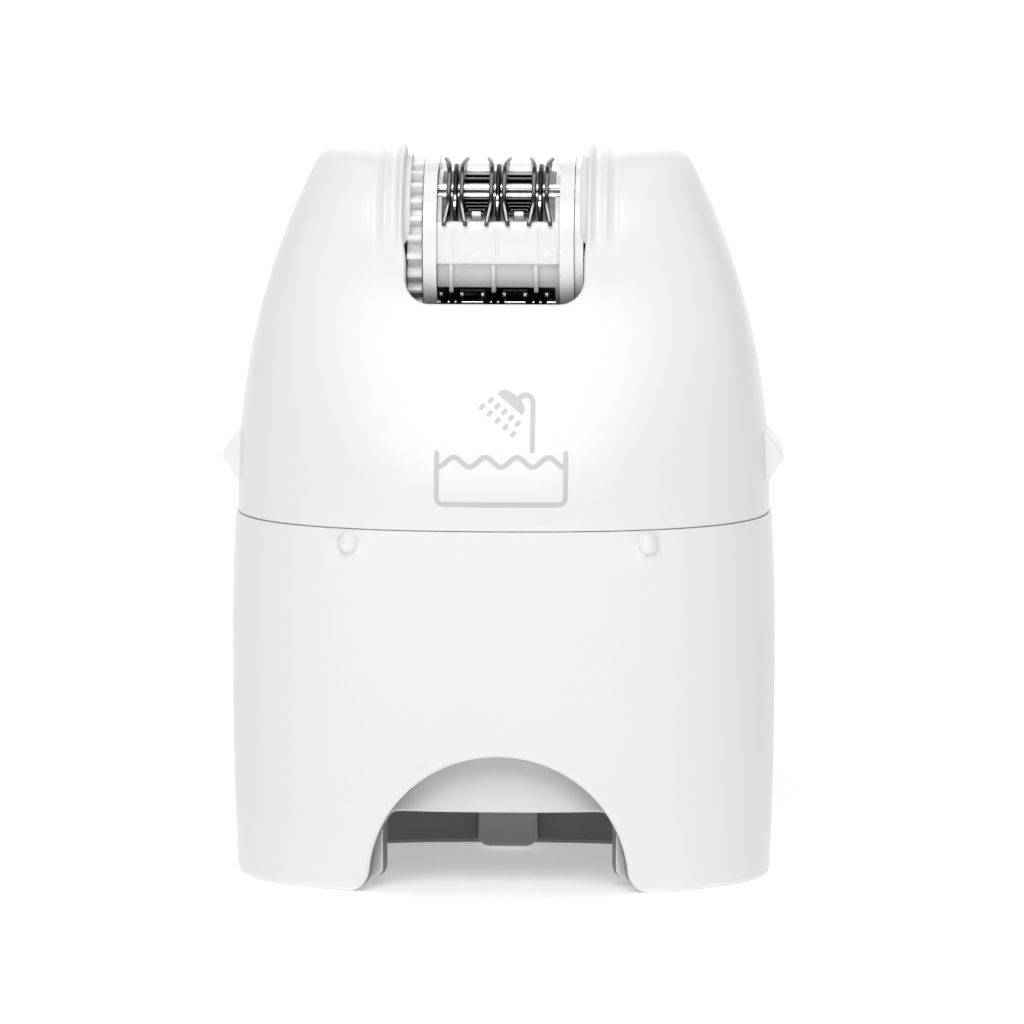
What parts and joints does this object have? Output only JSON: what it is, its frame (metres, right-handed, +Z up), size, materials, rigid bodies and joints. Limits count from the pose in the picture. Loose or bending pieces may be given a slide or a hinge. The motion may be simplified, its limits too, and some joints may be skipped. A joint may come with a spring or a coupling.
{
  "type": "epilator head",
  "caption": "Compact epilator head with a hollow slip-on skirt, a lift-off upper frame with side release buttons, and a gear-driven spinning tweezer drum.",
  "frame": {"origin": "centre of the overall box at the bottom edge of the skirt", "axes": "+Z up from the skirt to the drum, -Y the front with the finger arch, +X to the right seen from the front and along the drum axle"},
  "size_m": [0.0576, 0.0362, 0.0754],
  "materials": {
    "white_shell": "satin-gloss moulded plastic",
    "white_drum": "gloss moulded plastic",
    "inner_plastic": "moulded acetal",
    "tweezer_steel": "dark polished steel",
    "bright_steel": "ground steel",
    "brass_bearing": "turned",
    "rubber_seal": "matt",
    "print_grey": "pad-printed ink"
  },
  "bodies": {
    "housing": {"lower_casing": "white_shell", "inner_sleeve": "inner_plastic", "sleeve_screws": "bright_steel", "chassis_deck": "inner_plastic", "deck_screws": "bright_steel", "gear_side_wall": "inner_plastic", "far_side_wall": "inner_plastic", "layshaft_post": "inner_plastic", "drum_axle": "bright_steel", "drum_washers": "brass_bearing", "idler_pin": "bright_steel", "closing_cam": "tweezer_steel", "drive_bushes": "brass_bearing", "drive_seal": "rubber_seal"},
    "frame": {"upper_frame": "white_shell"},
    "button_left": {"release_button_left": "white_shell", "button_spring_left": "bright_steel"},
    "button_right": {"release_button_right": "white_shell", "button_spring_right": "bright_steel"},
    "drum": {"drum_barrel": "white_drum", "drum_gear": "white_drum", "drum_flange_left": "white_drum", "drum_flange_right": "white_drum", "drum_hub_ring": "white_drum", "row_1_fixed_blades": "tweezer_steel", "row_2_fixed_blades": "tweezer_steel", "row_3_fixed_blades": "tweezer_steel"},
    "idler": {"idler_gear": "inner_plastic"},
    "layshaft": {"layshaft": "bright_steel", "lay_gear": "inner_plastic", "crown_gear": "inner_plastic", "layshaft_clip": "bright_steel"},
    "drive": {"drive_shaft": "bright_steel", "drive_pinion": "inner_plastic", "drive_coupling": "inner_plastic", "drive_clip": "bright_steel"},
    "row_1": {"row_1_moving_plates": "tweezer_steel", "row_1_webs": "tweezer_steel", "row_1_push_rods": "bright_steel"},
    "row_2": {"row_2_moving_plates": "tweezer_steel", "row_2_webs": "tweezer_steel", "row_2_push_rods": "bright_steel"},
    "row_3": {"row_3_moving_plates": "tweezer_steel", "row_3_webs": "tweezer_steel", "row_3_push_rods": "bright_steel"}
  },
  "joints": [
    {"name": "frame_lift", "type": "slide", "parent": "housing", "child": "frame", "axis": [0, 0, 1], "range_m": [0, 0.045]},
    {"name": "button_left_press", "type": "slide", "parent": "frame", "child": "button_left", "axis": [1, 0, 0], "range_m": [0, 0.0014], "stiffness_N_per_m": 500, "springref_m": -0.0012, "deforming": ["button_spring_left"]},
    {"name": "button_right_press", "type": "slide", "parent": "frame", "child": "button_right", "axis": [-1, 0, 0], "range_m": [0, 0.0014], "stiffness_N_per_m": 500, "springref_m": -0.0012, "deforming": ["button_spring_right"]},
    {"name": "drum_spin", "type": "hinge", "parent": "housing", "child": "drum", "pos_m": [-0.0006, 0, 0.0655], "axis": [1, 0, 0], "continuous": true},
    {"name": "idler_spin", "type": "hinge", "parent": "housing", "child": "idler", "pos_m": [-0.0088, 0, 0.0529], "axis": [1, 0, 0], "continuous": true},
    {"name": "layshaft_spin", "type": "hinge", "parent": "housing", "child": "layshaft", "pos_m": [-0.0025, 0, 0.0439], "axis": [1, 0, 0], "continuous": true},
    {"name": "drive_spin", "type": "hinge", "parent": "housing", "child": "drive", "pos_m": [0, 0, 0.027], "axis": [0, 0, 1], "continuous": true},
    {"name": "row_1_close", "type": "slide", "parent": "drum", "child": "row_1", "axis": [1, 0, 0], "range_m": [-0.0002, 0.0002], "stiffness_N_per_m": 200},
    {"name": "row_2_close", "type": "slide", "parent": "drum", "child": "row_2", "axis": [1, 0, 0], "range_m": [-0.0002, 0.0002], "stiffness_N_per_m": 200},
    {"name": "row_3_close", "type": "slide", "parent": "drum", "child": "row_3", "axis": [1, 0, 0], "range_m": [-0.0002, 0.0002], "stiffness_N_per_m": 200}
  ],
  "couplings": [
    {"joint": "idler_spin", "follows": "drum_spin", "ratio": -1.625},
    {"joint": "layshaft_spin", "follows": "drum_spin", "ratio": 1.8571},
    {"joint": "drive_spin", "follows": "drum_spin", "ratio": -4.0238}
  ]
}
